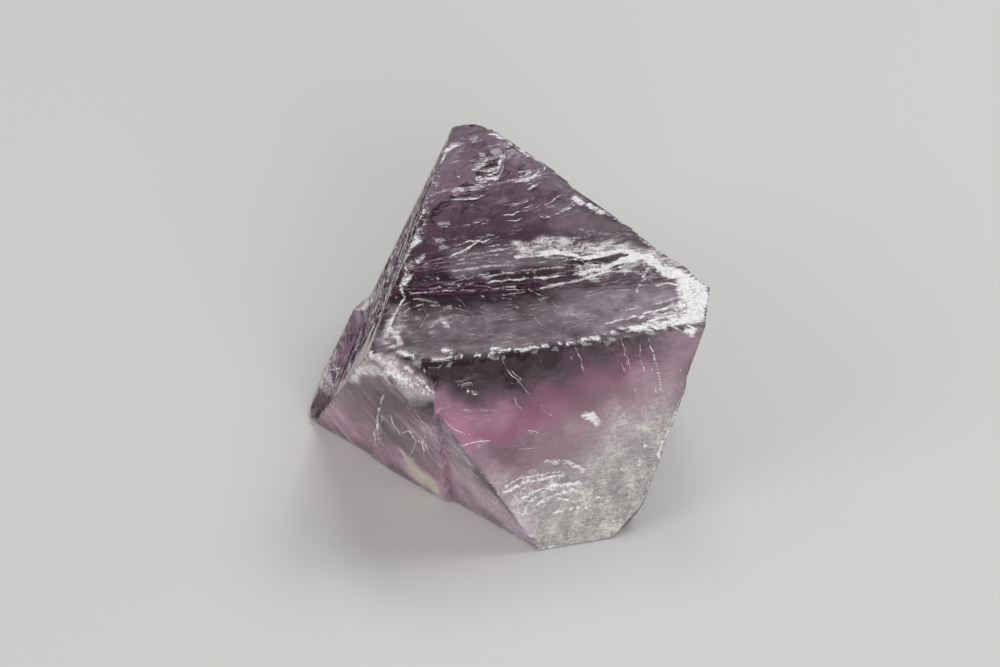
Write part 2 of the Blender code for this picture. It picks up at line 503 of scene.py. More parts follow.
# Milky veils: the face they lie under, their place in the view, their depth in mm, the face that they are
# parallel to, and their size in mm.
VEILS = (
    ("front", (610, 470), 1.8, "front", 5.0),
    ("front", (590, 510), 1.8, "left_front", 3.5),
    ("front", (640, 420), 2.2, "right", 4.0),
    ("front", (520, 400), 3.5, "top", 3.5),
    ("front", (560, 380), 4.0, "front", 4.5),
    ("left_front", (380, 420), 1.6, "left_front", 3.0),
    ("left_front", (430, 460), 1.8, "front", 3.0),
    ("top", (480, 310), 2.0, "top", 4.5),
    ("top", (620, 300), 1.8, "top", 5.0),
    ("top", (560, 225), 1.8, "back_right", 4.0),
    ("top", (480, 200), 2.2, "left", 3.5),
    ("top", (560, 310), 3.0, "front", 3.5),
)

VEIL_RINGS = (0.33, 0.66, 1.0)  # shares of a veil's size, where rings of its points lie
SPOKES = 32  # points on a ring

# Steps sown over each face: how many, then their lengths and heights in mm.
SOWN_STEPS = {
    "bottom": (50, (1.5, 7.0), (0.01, 0.05)),
    "top": (260, (0.6, 3.0), (0.008, 0.05)),
    "front": (70, (0.6, 2.6), (0.006, 0.03)),
    "back_right": (80, (1.5, 8.0), (0.015, 0.08)),
    "left": (120, (3.0, 12.0), (0.03, 0.16)),
    "left_front": (45, (1.5, 6.0), (0.005, 0.02)),
    "right": (72, (1.5, 8.0), (0.015, 0.08)),
    "back_left": (72, (1.5, 8.0), (0.015, 0.08)),
    "front_left_tip": (8, (0.5, 1.5), (0.01, 0.04)),
    "right_tip": (3, (0.4, 0.9), (0.01, 0.03)),
    "left_tip": (6, (0.5, 1.5), (0.01, 0.04)),
    "front_toe": (6, (0.5, 1.5), (0.01, 0.04)),
    "rear_tip": (3, (0.4, 0.9), (0.01, 0.03)),
}
# Azimuth and elevation that the risers look to, on a face where they all look one way.
RISERS_LOOK = {"left": (-90, 40)}

FLOOR_SPAN = 1500.0  # mm, half the floor's width
FLOOR_GAP = 0.06  # mm from the crystal down to the floor
LIT_PLACE = Vector((0, 0, 0.008))  # m, where the lights look
# Soft square lights: place and width in m.
LIGHTS = {
    "key": ((0.22, 0.20, 0.50), 0.30),
    "side": ((-0.45, -0.25, 0.35), 0.30),
    "back": ((-0.02, 0.42, 0.60), 0.18),
    "front": ((0.12, -0.45, 0.22), 0.30),
}


def direction(azimuth, elevation):
    """The unit vector that points this way, both in degrees."""
    turn, lift = math.radians(azimuth), math.radians(elevation)
    return np.array([math.cos(turn) * math.cos(lift), math.sin(turn) * math.cos(lift), math.sin(lift)])


def unit(vector):
    """The vector at length one."""
    return vector / np.linalg.norm(vector)


def camera_axes():
    """The camera's right, up and forward directions."""
    forward = -direction(-90, VIEW_ELEVATION)
    right = np.array([1.0, 0.0, 0.0])
    up = np.cross(right, forward)
    c, s = math.cos(math.radians(VIEW_ROLL)), math.sin(math.radians(VIEW_ROLL))
    return c * right - s * up, s * right + c * up, forward


def camera_place():
    """Where the camera stands, in mm."""
    return VIEW_TARGET - camera_axes()[2] * VIEW_DISTANCE


class Face:
    """One flat face of the crystal: its plane, its grain and its outline."""

    def __init__(self, name, distance):
        azimuth, elevation, grain_azimuth, grain_elevation = FACES[name]
        self.name = name
        self.normal = direction(azimuth, elevation)
        self.distance = distance
        grain = direction(grain_azimuth, grain_elevation)
        self.along = unit(grain - grain.dot(self.normal) * self.normal)
        self.across = np.cross(self.normal, self.along)
        self.outline = None
        self.steps = []

    def flat(self, points):
        """The places in the face of points in space."""
        return np.stack([points @ self.along, points @ self.across], -1)

    def solid(self, flat):
        """The points in space of places in the face."""
        flat = np.asarray(flat)
        return flat[:, :1] * self.along + flat[:, 1:] * self.across + self.distance * self.normal

    def seen(self, places):
        """The places in the face under these places of the view."""
        right, up, forward = camera_axes()
        eye = camera_place()
        places = np.asarray(places, float)
        scale = SENSOR_WIDTH / LENS / VIEW_WIDTH
        rays = (
            forward
            + (places[:, :1] - VIEW_WIDTH / 2) * scale * right
            - (places[:, 1:] - VIEW_HEIGHT / 2) * scale * up
        )
        flakes = [step for step in self.steps if not step.tapered]
        deepest = sum(flake.height for flake in flakes)
        found, reached = np.zeros((len(places), 2)), np.zeros(len(places), bool)
        for depth in np.linspace(0, deepest, DEPTH_TRIALS):
            reach = (self.distance - depth - eye @ self.normal) / (rays @ self.normal)
            flat = self.outward(eye + reach[:, None] * rays)
            missing = sum((flake.reading(flat)[0] for flake in flakes), np.zeros(len(flat)))
            fresh = ~reached & (missing <= depth + TINY)
            found[fresh] = flat[fresh]
            reached |= fresh
        return found

    def missing(self, flat):
        """How deep the surface lies under the face at these places."""
        return sum((step.reading(flat)[0] for step in self.steps), np.zeros(len(flat)))

    def outward(self, points):
        """The places in the face that cover these points, as seen from the middle of the crystal."""
        ways = points - MIDDLE
        share = (self.distance - MIDDLE @ self.normal) / (ways @ self.normal)
        return self.flat(MIDDLE + share[:, None] * ways)


def clipped(outline, normal, distance):
    """The part of a convex outline where normal . place is at most distance."""
    kept = []
    for start, end in zip(outline, np.roll(outline, -1, axis=0)):
        a, b = start @ normal - distance, end @ normal - distance
        if a <= 0:
            kept.append(start)
        if a * b < 0:
            kept.append(start + (end - start) * a / (a - b))
    return np.array(kept)


def crystal_faces():
    """The faces, each as far out as the CAD solid reaches, with their outlines."""
    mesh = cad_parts[NODE].data
    points = np.array([vertex.co for vertex in mesh.vertices]) / MM
    faces = {name: Face(name, (points @ direction(*way[:2])).max()) for name, way in FACES.items()}
    for face in faces.values():
        outline = FACE_SPAN * np.array([[-1, -1], [1, -1], [1, 1], [-1, 1]], float)
        for other in faces.values():
            if other is face:
                continue
            normal = np.array([other.normal @ face.along, other.normal @ face.across])
            distance = other.distance - face.distance * (other.normal @ face.normal)
            outline = clipped(outline, normal, distance)
        face.outline = outline
    return faces


def inside_by(outline, places):
    """How far inside a convex outline each place is."""
    least = np.full(len(places), np.inf)
    for start, end in zip(outline, np.roll(outline, -1, axis=0)):
        way = unit(end - start)
        least = np.minimum(least, (places - start) @ np.array([-way[1], way[0]]))
    return least


def beside(line, places):
    """How far each place is to the left of a line, and how far along it, from 0 to 1."""
    starts, ways = line[:-1], np.diff(line, axis=0)
    lengths = np.linalg.norm(ways, axis=1)
    offset = places[:, None] - starts[None]
    share = np.clip((offset * ways).sum(-1) / lengths**2, 0, 1)
    gap = offset - share[..., None] * ways
    distance = np.linalg.norm(gap, axis=-1)
    nearest = distance.argmin(1)
    rows = np.arange(len(places))
    cross = ways[nearest, 0] * offset[rows, nearest, 1] - ways[nearest, 1] * offset[rows, nearest, 0]
    along = (np.cumsum(lengths) - lengths)[nearest] + share[rows, nearest] * lengths[nearest]
    return np.where(cross < 0, -1, 1) * distance[rows, nearest], along / lengths.sum()


def resampled(line, spacing):
    """The line with points at an even spacing."""
    lengths = np.linalg.norm(np.diff(line, axis=0), axis=1)
    run = np.concatenate([[0], np.cumsum(lengths)])
    count = max(2, int(run[-1] / spacing) + 1)
    at = np.linspace(0, run[-1], count)
    return np.stack([np.interp(at, run, line[:, 0]), np.interp(at, run, line[:, 1])], -1)


def left_of(line):
    """The unit vectors to the left of a line at its points."""
    ways = np.gradient(line, axis=0)
    ways /= np.maximum(np.linalg.norm(ways, axis=1, keepdims=True), 1e-9)
    return np.stack([-ways[:, 1], ways[:, 0]], -1)


class StepLine:
    """A broken step: to the left of its line the face drops, and then climbs back over its reach."""

    def __init__(self, line, height, reach, white, tapered=True):
        self.line = line
        self.height = height
        self.reach = reach
        self.white = white
        self.tapered = tapered

    def rows(self):
        """The lines that the mesh has to follow."""
        left = left_of(self.line)
        return [self.line + left * offset for offset in (-RISER_FADE, 0, RISER, RISER + RISER_FADE)]

    def reading(self, places):
        """The depth and the whiteness of the step at these places."""
        depth, white = np.zeros(len(places)), np.zeros(len(places))
        room = STEP_ROOM * self.reach + RISER_FADE
        low, high = self.line.min(0) - room, self.line.max(0) + room
        near = np.flatnonzero(((places > low) & (places < high)).all(1))
        if not len(near):
            return depth, white
        side, share = beside(self.line, places[near])
        taper = np.clip(np.minimum(share, 1 - share) / STEP_TAPER, 0, 1) if self.tapered else 1.0
        ramp = np.clip(side / RISER, 0, 1) * np.exp(-np.clip(side - RISER, 0, None) / self.reach)
        depth[near] = self.height * taper * ramp
        # The white along a riser is partly broken fluorite and partly a painted glint on the step.
        off = np.abs(side - RISER / 2) - RISER / 2
        white[near] = self.white * np.sqrt(taper) * np.clip(1 - off / RISER_FADE, 0, 1)
        return depth, white


class Flow:
    """Which way the steps run at each place of a face."""

    def __init__(self, face):
        self.places, self.ways = np.zeros((1, 2)), np.array([[1.0, 0.0]])
        guides = FLOW.get(face.name)
        if guides:
            guides = np.array(guides, float)
            turn = np.radians(guides[:, 2])
            ahead = guides[:, :2] + 5 * np.stack([np.cos(turn), -np.sin(turn)], -1)
            self.places = face.seen(guides[:, :2])
            self.ways = face.seen(ahead) - self.places
            self.ways /= np.linalg.norm(self.ways, axis=1, keepdims=True)

    def at(self, place):
        """The direction at one place."""
        weight = 1 / (((self.places - place) ** 2).sum(1) + 0.5) ** 1.5
        return unit((self.ways * weight[:, None]).sum(0))


def sown_line(rng, flow, outline, length):
    """A wavering line of steps that starts at a random place in the outline and follows the flow."""
    low, high = outline.min(0), outline.max(0)
    place = rng.uniform(low, high)
    while inside_by(outline, place[None])[0] < START_MARGIN:
        place = rng.uniform(low, high)
    points, bend = [place], rng.normal(0, 0.05)
    for _ in range(max(2, int(length / STRIDE))):
        way = flow.at(place)
        bend = 0.7 * bend + rng.normal(0, 0.13)
        way = way + bend * np.array([-way[1], way[0]])
        place = place + STRIDE * way
        if inside_by(outline, place[None])[0] < STOP_MARGIN:
            break
        points.append(place)
    return np.array(points)


def wavered(rng, line, spacing, amount):
    """The line at an even spacing, with small seeded wavers across it."""
    line = resampled(line, spacing)
    knots = rng.normal(0, amount, max(FEWEST_POINTS, int(len(line) * spacing / WAVER_LENGTH) + 2))
    at = np.linspace(0, len(knots) - 1, len(line))
    return line + left_of(line) * np.interp(at, np.arange(len(knots)), knots)[:, None]


def flake_line(face, riser, depth):
    """The line where a flake's riser crosses a face, with the missing flake on its left."""
    normal = direction(*riser[:2])
    level = face.distance - depth
    flat = np.array([normal @ face.along, normal @ face.across])
    distance = (riser[2] - level * (normal @ face.normal)) / np.linalg.norm(flat)
    flat = unit(flat)
    way = np.array([flat[1], -flat[0]])
    span = np.array([-FLAKE_SPAN, FLAKE_SPAN])[:, None]
    line = resampled(flat * distance + span * way, FLAKE_SPACING)
    line = face.outward(face.solid(line) - depth * face.normal)
    return line[inside_by(face.outline, line) > -FLAKE_OVERRUN]


@functools.lru_cache
def stepped_faces():
    """The faces with their flakes and steps laid."""
    rng = np.random.default_rng(SEED)
    faces = crystal_faces()
    for face in faces.values():
        lay_steps(face, rng)
    return faces


def splinters(rng, line, height):
    """Short lesser steps that run beside a marked one."""
    found = []
    left = left_of(line)
    for _ in range(max(2, int(len(line) * LINE_SPACING / SPLINTER_SPACING))):
        size = rng.integers(4, 11)
        start = rng.integers(0, max(1, len(line) - size))
        part = line[start : start + size]
        if len(part) < FEWEST_POINTS:
            continue
        part = part + left[start : start + size] * rng.normal(0, SPLINTER_SCATTER)
        part = wavered(rng, part, LINE_SPACING, WAVER)
        lower, reach, white = rng.uniform(0.3, 0.8), rng.uniform(0.2, 0.5), rng.uniform(0.2, 0.8)
        found.append(StepLine(part, height * lower, reach, white))
    return found


def lay_steps(face, rng):
    """Gives a face its missing flakes, its marked steps and its sown steps."""
    depth = 0.0
    for thickness, count, riser in FLAKES.get(face.name, ()):
        for number in range(count):
            line = flake_line(face, riser, depth + thickness / 2)
            line = line + left_of(line) * (number - (count - 1) / 2) * rng.uniform(0.25, 0.5)
            line = wavered(rng, line, LINE_SPACING, 0.07)
            white = rng.uniform(0.2, 0.6)
            face.steps.append(StepLine(line, thickness / count, NO_CLIMB, white, tapered=False))
        depth += thickness
    for height, places in STEP_LINES.get(face.name, ()):
        line = wavered(rng, face.seen(places), LINE_SPACING, 0.05)
        middle = face.solid(line.mean(0)[None])[0]
        left = face.solid((line.mean(0) + left_of(line)[len(line) // 2])[None])[0]
        if (left - middle) @ camera_axes()[1] > 0:
            line = line[::-1]
        face.steps.append(StepLine(line, height, rng.uniform(0.5, 1.2), rng.uniform(0.7, 1.0)))
        face.steps += splinters(rng, line, height)
    count, lengths, heights = SOWN_STEPS[face.name]
    flow = Flow(face)
    for _ in range(count):
        line = sown_line(rng, flow, face.outline, rng.uniform(*lengths))
        if len(line) < FEWEST_POINTS:
            continue
        line = wavered(rng, line, SOWN_SPACING, WAVER)
        if face.name in RISERS_LOOK:
            way = direction(*RISERS_LOOK[face.name])
            if left_of(line).mean(0) @ np.array([way @ face.along, way @ face.across]) < 0:
                line = line[::-1]
        elif rng.random() < 0.3:
            line = line[::-1]
        height = rng.uniform(*heights)
        face.steps.append(StepLine(line, height, rng.uniform(0.3, 1.0), 0.2 + 0.75 * rng.random() ** 2))


def edge_points(start, end, spacing):
    """Evenly spaced points from start to end, the same for both faces that share the edge."""
    count = max(1, round(np.linalg.norm(end - start) / spacing))
    return start + (end - start) * np.linspace(0, 1, count + 1)[:-1, None]


class Shell:
    """The points and triangles of the crystal's surface while it is being meshed."""

    def __init__(self):
        self.points, self.triangles = [], []
        self.known = {}

    def shared(self, point):
        """The number of a point on an edge, one for all faces that meet there."""
        key = tuple(np.round(point, 3) + 0.0)
        if key not in self.known:
            self.known[key] = len(self.points)
            self.points.append(point)
        return self.known[key]

    def add(self, point):
        """Adds a point of one face alone."""
        self.points.append(point)
        return len(self.points) - 1


def mesh_face(shell, face, rng, settings):
    """Triangulates one face: fine along its edges and its steps, coarser between."""
    corners = face.solid(face.outline)
    rim = []
    for start, end in zip(corners, np.roll(corners, -1, axis=0)):
        if tuple(start) <= tuple(end):
            rim.extend(edge_points(start, end, settings.edge_spacing))
        else:
            rim.extend(edge_points(end, start, settings.edge_spacing)[::-1])
    rim = list({tuple(np.round(point, 3) + 0.0): point for point in rim}.values())
    rim_flat = face.flat(np.array(rim))
    angle = np.arctan2(*(rim_flat - rim_flat.mean(0)).T[::-1])
    order = angle.argsort()
    rim_flat = rim_flat[order]
    ids = [shell.shared(rim[i]) for i in order]
    places, lines = [rim_flat], [np.stack([np.arange(len(ids)), np.roll(np.arange(len(ids)), -1)], -1)]
    total = len(ids)
    rows = [row for step in face.steps for row in step.rows()]
    for row in rows:
        keep = inside_by(face.outline, row) > ROW_MARGIN
        numbers = np.where(keep, np.cumsum(keep) - 1 + total, -1)
        linked = keep[:-1] & keep[1:]
        lines.append(np.stack([numbers[:-1][linked], numbers[1:][linked]], -1))
        places.append(row[keep])
        total += keep.sum()
    taken = np.concatenate([np.zeros((0, 2)), *places[1:]])
    for inset in RINGS:
        middle = rim_flat.mean(0)
        gap = np.linalg.norm(rim_flat - middle, axis=1, keepdims=True)
        ring = rim_flat + (middle - rim_flat) / gap * inset * 1.2
        ring = ring[inside_by(face.outline, ring) > inset * 0.7]
        places.append(spread(ring, taken, RING_GAP))
    low, high = face.outline.min(0), face.outline.max(0)
    step = settings.spacing
    columns, rows = np.arange(low[0], high[0], step), np.arange(low[1], high[1], step * ROW_RATIO)
    grid = np.stack(np.meshgrid(columns, rows), -1)
    grid[1::2, :, 0] += step / 2
    grid = grid.reshape(-1, 2) + rng.uniform(-0.3, 0.3, (grid.size // 2, 2)) * step
    grid = grid[inside_by(face.outline, grid) > 0.5]
    places.append(spread(grid, taken, GRID_GAP))
    crushed = mask_at(face, "crush", grid)
    extra = np.repeat(grid[crushed > 0.35], 2, axis=0)
    extra = extra + rng.uniform(-0.5, 0.5, extra.shape) * step
    extra = extra[inside_by(face.outline, extra) > 0.15]
    places.append(spread(extra, taken, CRUSH_GAP))
    flat = np.concatenate(places)
    edges = [tuple(map(int, pair)) for pair in np.concatenate(lines)]
    made = delaunay_2d_cdt([Vector(place) for place in flat], edges, [], CONVEX, MERGED)
    out, _, triangles, origins, _, _ = made
    solid = face.solid(np.array(out))
    numbers = []
    for point, origin in zip(solid, origins):
        on_rim = [i for i in origin if i < len(ids)]
        numbers.append(ids[on_rim[0]] if on_rim else shell.add(point))
    for a, b, c in triangles:
        shell.triangles.append((numbers[a], numbers[b], numbers[c]))


def spread(places, taken, gap):
    """The places that keep this gap from those already taken, and roughly from each other."""
    if not len(places):
        return places
    cells = {tuple(cell) for cell in np.floor(taken / gap).astype(int)} if len(taken) else set()
    kept = []
    for place, cell in zip(places, np.floor(places / gap).astype(int)):
        key = tuple(cell)
        if key not in cells:
            cells.add(key)
            kept.append(place)
    return np.array(kept).reshape(-1, 2)


def ragged(places):
    """How far each place shifts, by wavers of different lengths, so that what is drawn has ragged edges."""
    rng = np.random.default_rng(SEED)
    moved = np.zeros_like(places)
    for length in (3.1, 1.7, 1.1, 0.7):
        for axis in (0, 1):
            way = unit(rng.normal(size=2)) * 2 * math.pi / length
            moved[:, axis] += 0.09 * length * np.sin(places @ way + rng.uniform(0, 2 * math.pi))
    return moved


def mask_at(face, mask, places):
    """How strongly a mask is painted at places of a face."""
    value = np.zeros(len(places))
    shift = ragged(places)
    for width, strength, run in STROKES.get((mask, face.name), ()):
        side, _ = beside(face.seen(run), places + shift * min(1, width))
        value = np.maximum(value, strength * np.clip(STROKE_EDGE - np.abs(side) / width, 0, 1))
    return value


def hashed(points, size, seed):
    """Noise from 0 to 1 that is the same for all points in one cell of this size."""
    # Large primes scatter neighbouring cells.
    cell = np.floor(points / size).astype(np.int64)
    mixed = cell[:, 0] * 73856093 ^ cell[:, 1] * 19349663 ^ cell[:, 2] * 83492791 ^ seed * 2654435761
    mixed = (mixed ^ (mixed >> 13)) * 1274126177
    return ((mixed ^ (mixed >> 16)) & 0xFFFF) / 0xFFFF


def ridge_list(faces):
    """The edges of the crystal: their two faces and their two ends."""
    found = {}
    for face in faces.values():
        corners = face.solid(face.outline)
        for start, end in zip(corners, np.roll(corners, -1, axis=0)):
            key = frozenset((tuple(np.round(start, 2) + 0.0), tuple(np.round(end, 2) + 0.0)))
            found.setdefault(key, []).append((face, start, end))
    return [(both[0][0], both[1][0], both[0][1], both[0][2]) for both in found.values() if len(both) == 2]


def corner_list(faces):
    """The corners of the crystal, and which way each points."""
    found = {}
    for face in faces.values():
        for corner in face.solid(face.outline):
            found.setdefault(tuple(np.round(corner, 2) + 0.0), []).append(face.normal)
    return [(np.array(corner), unit(np.sum(normals, axis=0))) for corner, normals in found.items()]


def nibble_ridges(faces, points, reach, rng, settings):
    """Breaks small scallops out of the ridges. It returns the new reach and where the ridge is crushed."""
    ways = unit_rows(points - MIDDLE)
    crushed = np.zeros(len(points))
    for one, other, start, end in ridge_list(faces):
        length = np.linalg.norm(end - start)
        if length < 0.5:
            continue
        along = (end - start) / length
        sharpness = 0.7 * np.clip(1.3 - 1.5 * one.normal @ other.normal, 0, 1)
        offset = points - start
        run = offset @ along
        gap = np.linalg.norm(offset - run[:, None] * along, axis=1)
        close = np.flatnonzero((gap < NEAR_RIDGE) & (run > -1.0) & (run < length + 1.0))
        bites = [(0.5 * length, length, settings.ridge_wear, 0.5)]
        at = 0.0
        while at < length:
            width = rng.uniform(0.25, 1.3)
            at += rng.uniform(0.3, 1.2)
            depth = rng.uniform(0.02, settings.ridge_bite) * min(1, width) * rng.random() ** 0.5
            bites.append((at, width, depth, rng.uniform(0.2, 0.8)))
        for middle, width, depth, share in bites:
            normal = unit(share * one.normal + (1 - share) * other.normal)
            hit = close[np.abs(run[close] - middle) < width]
            bite = depth * (1 - ((run[hit] - middle) / width) ** 2)
            cut = (normal @ (start - MIDDLE) - bite) / (ways[hit] @ normal)
            deeper = cut < reach[hit] - LEAST_CUT
            hit, cut = hit[deeper], cut[deeper]
            crushed[hit] = np.maximum(crushed[hit], sharpness)
            reach[hit] = cut
    for corner, normal in corner_list(faces):
        hit = np.flatnonzero(np.linalg.norm(points - corner, axis=1) < NEAR_CORNER)
        cut = (normal @ (corner - MIDDLE) - settings.corner_wear) / (ways[hit] @ normal)
        reach[hit] = np.minimum(reach[hit], cut)
    return reach, crushed


def unit_rows(vectors):
    """Each row at length one."""
    return vectors / np.linalg.norm(vectors, axis=1, keepdims=True)


def carve(faces, points, rng, settings):
    """Moves the points of the shell to the worn surface, and returns them with their masks."""
    ways = unit_rows(points - MIDDLE)
    worn = np.linalg.norm(points - MIDDLE, axis=1)
    masks = {name: np.zeros(len(points)) for name in MASKS}
    cuts = []
    for face in faces.values():
        near = np.flatnonzero(face.distance - points @ face.normal < NEAR_FACE)
        places = face.outward(points[near])
        depth, line = np.zeros(len(near)), np.zeros(len(near))
        for step in face.steps:
            drop, white = step.reading(places)
            depth += drop
            line = np.maximum(line, white)
        cut = (face.distance - depth - MIDDLE @ face.normal) / (ways[near] @ face.normal)
        worn[near] = np.minimum(worn[near], cut)
        cuts.append((face, near, places, cut, line))
    owner = np.zeros(len(points), int)
    for number, (face, near, places, cut, line) in enumerate(cuts):
        own = cut < worn[near] + SHARED
        owner[near[cut <= worn[near]]] = number
        for name in MASKS[:-1]:
            value = np.maximum(mask_at(face, name, places[own]), FACE_TONES.get((face.name, name), 0))
            masks[name][near[own]] = np.maximum(masks[name][near[own]], value)
        masks["line"][near[own]] = np.maximum(masks["line"][near[own]], line[own])
    worn, crushed = nibble_ridges(faces, points, worn, rng, settings)
    masks["crush"] = np.maximum(masks["crush"], crushed)
    facets = hashed(points, 0.16, 1) * 0.6 + hashed(points + 7.3, 0.4, 2) * 0.4
    worn = worn - settings.crush_depth * np.clip(masks["crush"] * 1.3 - 0.2, 0, 1) * facets
    return MIDDLE + ways * worn[:, None], masks, owner


def plain_mesh(name, points, triangles):
    """A mesh object from points in mm."""
    mesh = bpy.data.meshes.new(name)
    mesh.from_pydata((points * MM).tolist(), [], triangles)
    mesh.update()
    piece = bpy.data.objects.new(name, mesh)
    bpy.context.scene.collection.objects.link(piece)
    return piece


def grain_map(mesh, faces, owners):
    """A UV map in mm along and across the grain of each face."""
    points = np.empty(len(mesh.vertices) * 3)
    mesh.vertices.foreach_get("co", points)
    points = points.reshape(-1, 3) / MM
    loops = np.empty(len(mesh.loops), int)
    mesh.loops.foreach_get("vertex_index", loops)
    loop_owner = np.repeat(owners, 3)
    places = np.zeros((len(loops), 2))
    for number, face in enumerate(faces.values()):
        own = loop_owner == number
        places[own] = face.flat(points[loops[own]]) + (FACE_GAP * number, 0)
    layer = mesh.uv_layers.new(name="grain")
    layer.uv.foreach_set("vector", places.astype(np.float32).ravel())


def build_crystal(settings):
    """The whole worn surface of the crystal as one closed mesh."""
    rng = np.random.default_rng(SEED)
    faces = stepped_faces()
    shell = Shell()
    for face in faces.values():
        mesh_face(shell, face, rng, settings)
    points, masks, owner = carve(faces, np.array(shell.points), rng, settings)
    piece = plain_mesh("fluorite_crystal", points, shell.triangles)
    mesh = piece.data
    for name, values in masks.items():
        layer = mesh.attributes.new(name, "FLOAT", "POINT")
        layer.data.foreach_set("value", values.astype(np.float32))
    grain_map(mesh, faces, owner[np.array(shell.triangles)[:, 0]])
    mesh.polygons.foreach_set("use_smooth", [True] * len(mesh.polygons))
    mesh.set_sharp_from_angle(angle=math.radians(settings.facet_angle))
    return piece


def linear(colour, alpha=1.0):
    """The linear values of an sRGB hex colour."""
    parts = [int(colour[i : i + 2], 16) / 255 for i in (1, 3, 5)]
    return [c / 12.92 if c <= 0.04045 else ((c + 0.055) / 1.055) ** 2.4 for c in parts] + [alpha]


def add(tree, kind, inputs=(), **settings):
    """Adds a node with its settings, and sets or links its inputs; a node means its first output."""
    node = tree.nodes.new(kind)
    for name, value in settings.items():
        setattr(node, name, value)
    for name, value in dict(inputs).items():
        if isinstance(value, bpy.types.Node):
            value = value.outputs[0]
        if isinstance(value, bpy.types.NodeSocket):
            tree.links.new(value, node.inputs[name])
        else:
            node.inputs[name].default_value = value
    return node


def fresh_material(name):
    """A material with an empty node tree."""
    material = bpy.data.materials.new(name)
    material.use_nodes = True
    material.node_tree.nodes.clear()
    return material


def per_metre(size):
    """The texture scale on object coordinates that gives this size in mm."""
    return 1 / (size * MM)


def cleaved_fluorite(settings):
    """Cleaved fluorite: clear mauve planes with fine streaks, milky haze, crushed white breaks that also
    stand for painted glints, a painted pink glow and painted purple shade.
    """
    material = fresh_material("cleaved_fluorite")
    tree = material.node_tree
    times, plus = {"operation": "MULTIPLY"}, {"operation": "MULTIPLY_ADD"}
    most, least = {"operation": "MAXIMUM"}, {"operation": "SUBTRACT"}
    soft = {"interpolation_type": "SMOOTHSTEP"}
    masks = {name: add(tree, "ShaderNodeAttribute", attribute_name=name).outputs["Fac"] for name in MASKS}
    place = add(tree, "ShaderNodeTexCoord").outputs["Object"]
    grain = add(tree, "ShaderNodeUVMap", uv_map="grain").outputs["UV"]

    noises = {}
    for name, (along, across, detail, roughness) in GRAIN_NOISES.items():
        drawn_out = add(tree, "ShaderNodeMapping", {"Vector": grain, "Scale": (along, across, 1.0)})
        inputs = {"Vector": drawn_out, "Scale": 1.0, "Detail": detail, "Roughness": roughness}
        noises[name] = add(tree, "ShaderNodeTexNoise", inputs).outputs["Fac"]
    for name, (size, detail, roughness) in PLACE_NOISES.items():
        inputs = {"Vector": place, "Scale": per_metre(size), "Detail": detail, "Roughness": roughness}
        noises[name] = add(tree, "ShaderNodeTexNoise", inputs).outputs["Fac"]
    fine, speckle, cloud = noises["fine"], noises["speckle"], noises["cloud"]

    # How icy a place is, in patches, and how grainy, in fine streaks. On frost it is grainy without streaks.
    share = add(tree, "ShaderNodeMath", {0: cloud, 1: 0.55}, **times)
    mottle = add(tree, "ShaderNodeMath", {0: noises["wide"], 1: 0.45, 2: share}, **plus)
    icy = add(tree, "ShaderNodeMapRange", {"Value": mottle, "From Min": 0.34, "From Max": 0.66})
    share = add(tree, "ShaderNodeMath", {0: speckle, 1: 0.3}, **times)
    streaky = add(tree, "ShaderNodeMath", {0: fine, 1: 0.7, 2: share}, **plus)
    change = add(tree, "ShaderNodeMath", {0: speckle, 1: streaky}, **least)
    broken = add(tree, "ShaderNodeMath", {0: masks["frost"], 1: change, 2: streaky}, **plus)
    grainy = add(tree, "ShaderNodeMapRange", {"Value": broken, "From Min": 0.36, "From Max": 0.64})

    # White: crushed places and the lines of steps, then streaks, long streaks and flecks in the frost. The
    # white of crushed places and step lines also stands for painted glints of the lights on broken facets.
    share = add(tree, "ShaderNodeMath", {0: icy, 1: 0.55, 2: 0.15}, **plus)
    texture = add(tree, "ShaderNodeMath", {0: grainy, 1: 0.95, 2: share}, **plus)
    crush = add(tree, "ShaderNodeMath", {0: masks["crush"], 1: texture}, **times)
    crush = add(tree, "ShaderNodeMapRange", {"Value": crush, "From Min": 0.22, "From Max": 0.90}, **soft)
    texture = add(tree, "ShaderNodeMath", {0: icy, 1: 0.9, 2: grainy}, **plus)
    line = add(tree, "ShaderNodeMath", {0: masks["line"], 1: texture}, **times)
    line = add(tree, "ShaderNodeMapRange", {"Value": line, "From Min": 0.30, "From Max": 1.15}, **soft)
    sharp = add(tree, "ShaderNodeMapRange", {"Value": fine, "From Min": 0.58, "From Max": 0.72}, **soft)
    inputs = {"Value": noises["patch"], "From Min": 0.46, "From Max": 0.62}
    where = add(tree, "ShaderNodeMapRange", inputs, **soft)
    streaks = add(tree, "ShaderNodeMath", {0: sharp, 1: where}, **times)
    streaks = add(tree, "ShaderNodeMath", {0: streaks, 1: masks["streaks"]}, **times)
    inputs = {"Value": noises["long"], "From Min": 0.54, "From Max": 0.66}
    sharp = add(tree, "ShaderNodeMapRange", inputs, **soft)
    long = add(tree, "ShaderNodeMath", {0: masks["long"], 1: sharp}, **times)
    share = add(tree, "ShaderNodeMath", {0: grainy, 1: 0.75, 2: 0.15}, **plus)
    long = add(tree, "ShaderNodeMath", {0: long, 1: share}, **times)
    share = add(tree, "ShaderNodeMath", {0: fine, 1: 0.3}, **times)
    share = add(tree, "ShaderNodeMath", {0: cloud, 1: 0.35, 2: share}, **plus)
    spots = add(tree, "ShaderNodeMath", {0: speckle, 1: 0.35, 2: share}, **plus)
    sharp = add(tree, "ShaderNodeMapRange", {"Value": spots, "From Min": 0.52, "From Max": 0.70}, **soft)
    flecks = add(tree, "ShaderNodeMath", {0: masks["frost"], 1: 0.5}, **times)
    flecks = add(tree, "ShaderNodeMath", {0: flecks, 1: sharp}, **times)
    white = crush
    for other in (line, streaks, flecks, long):
        white = add(tree, "ShaderNodeMath", {0: white, 1: other}, **most)

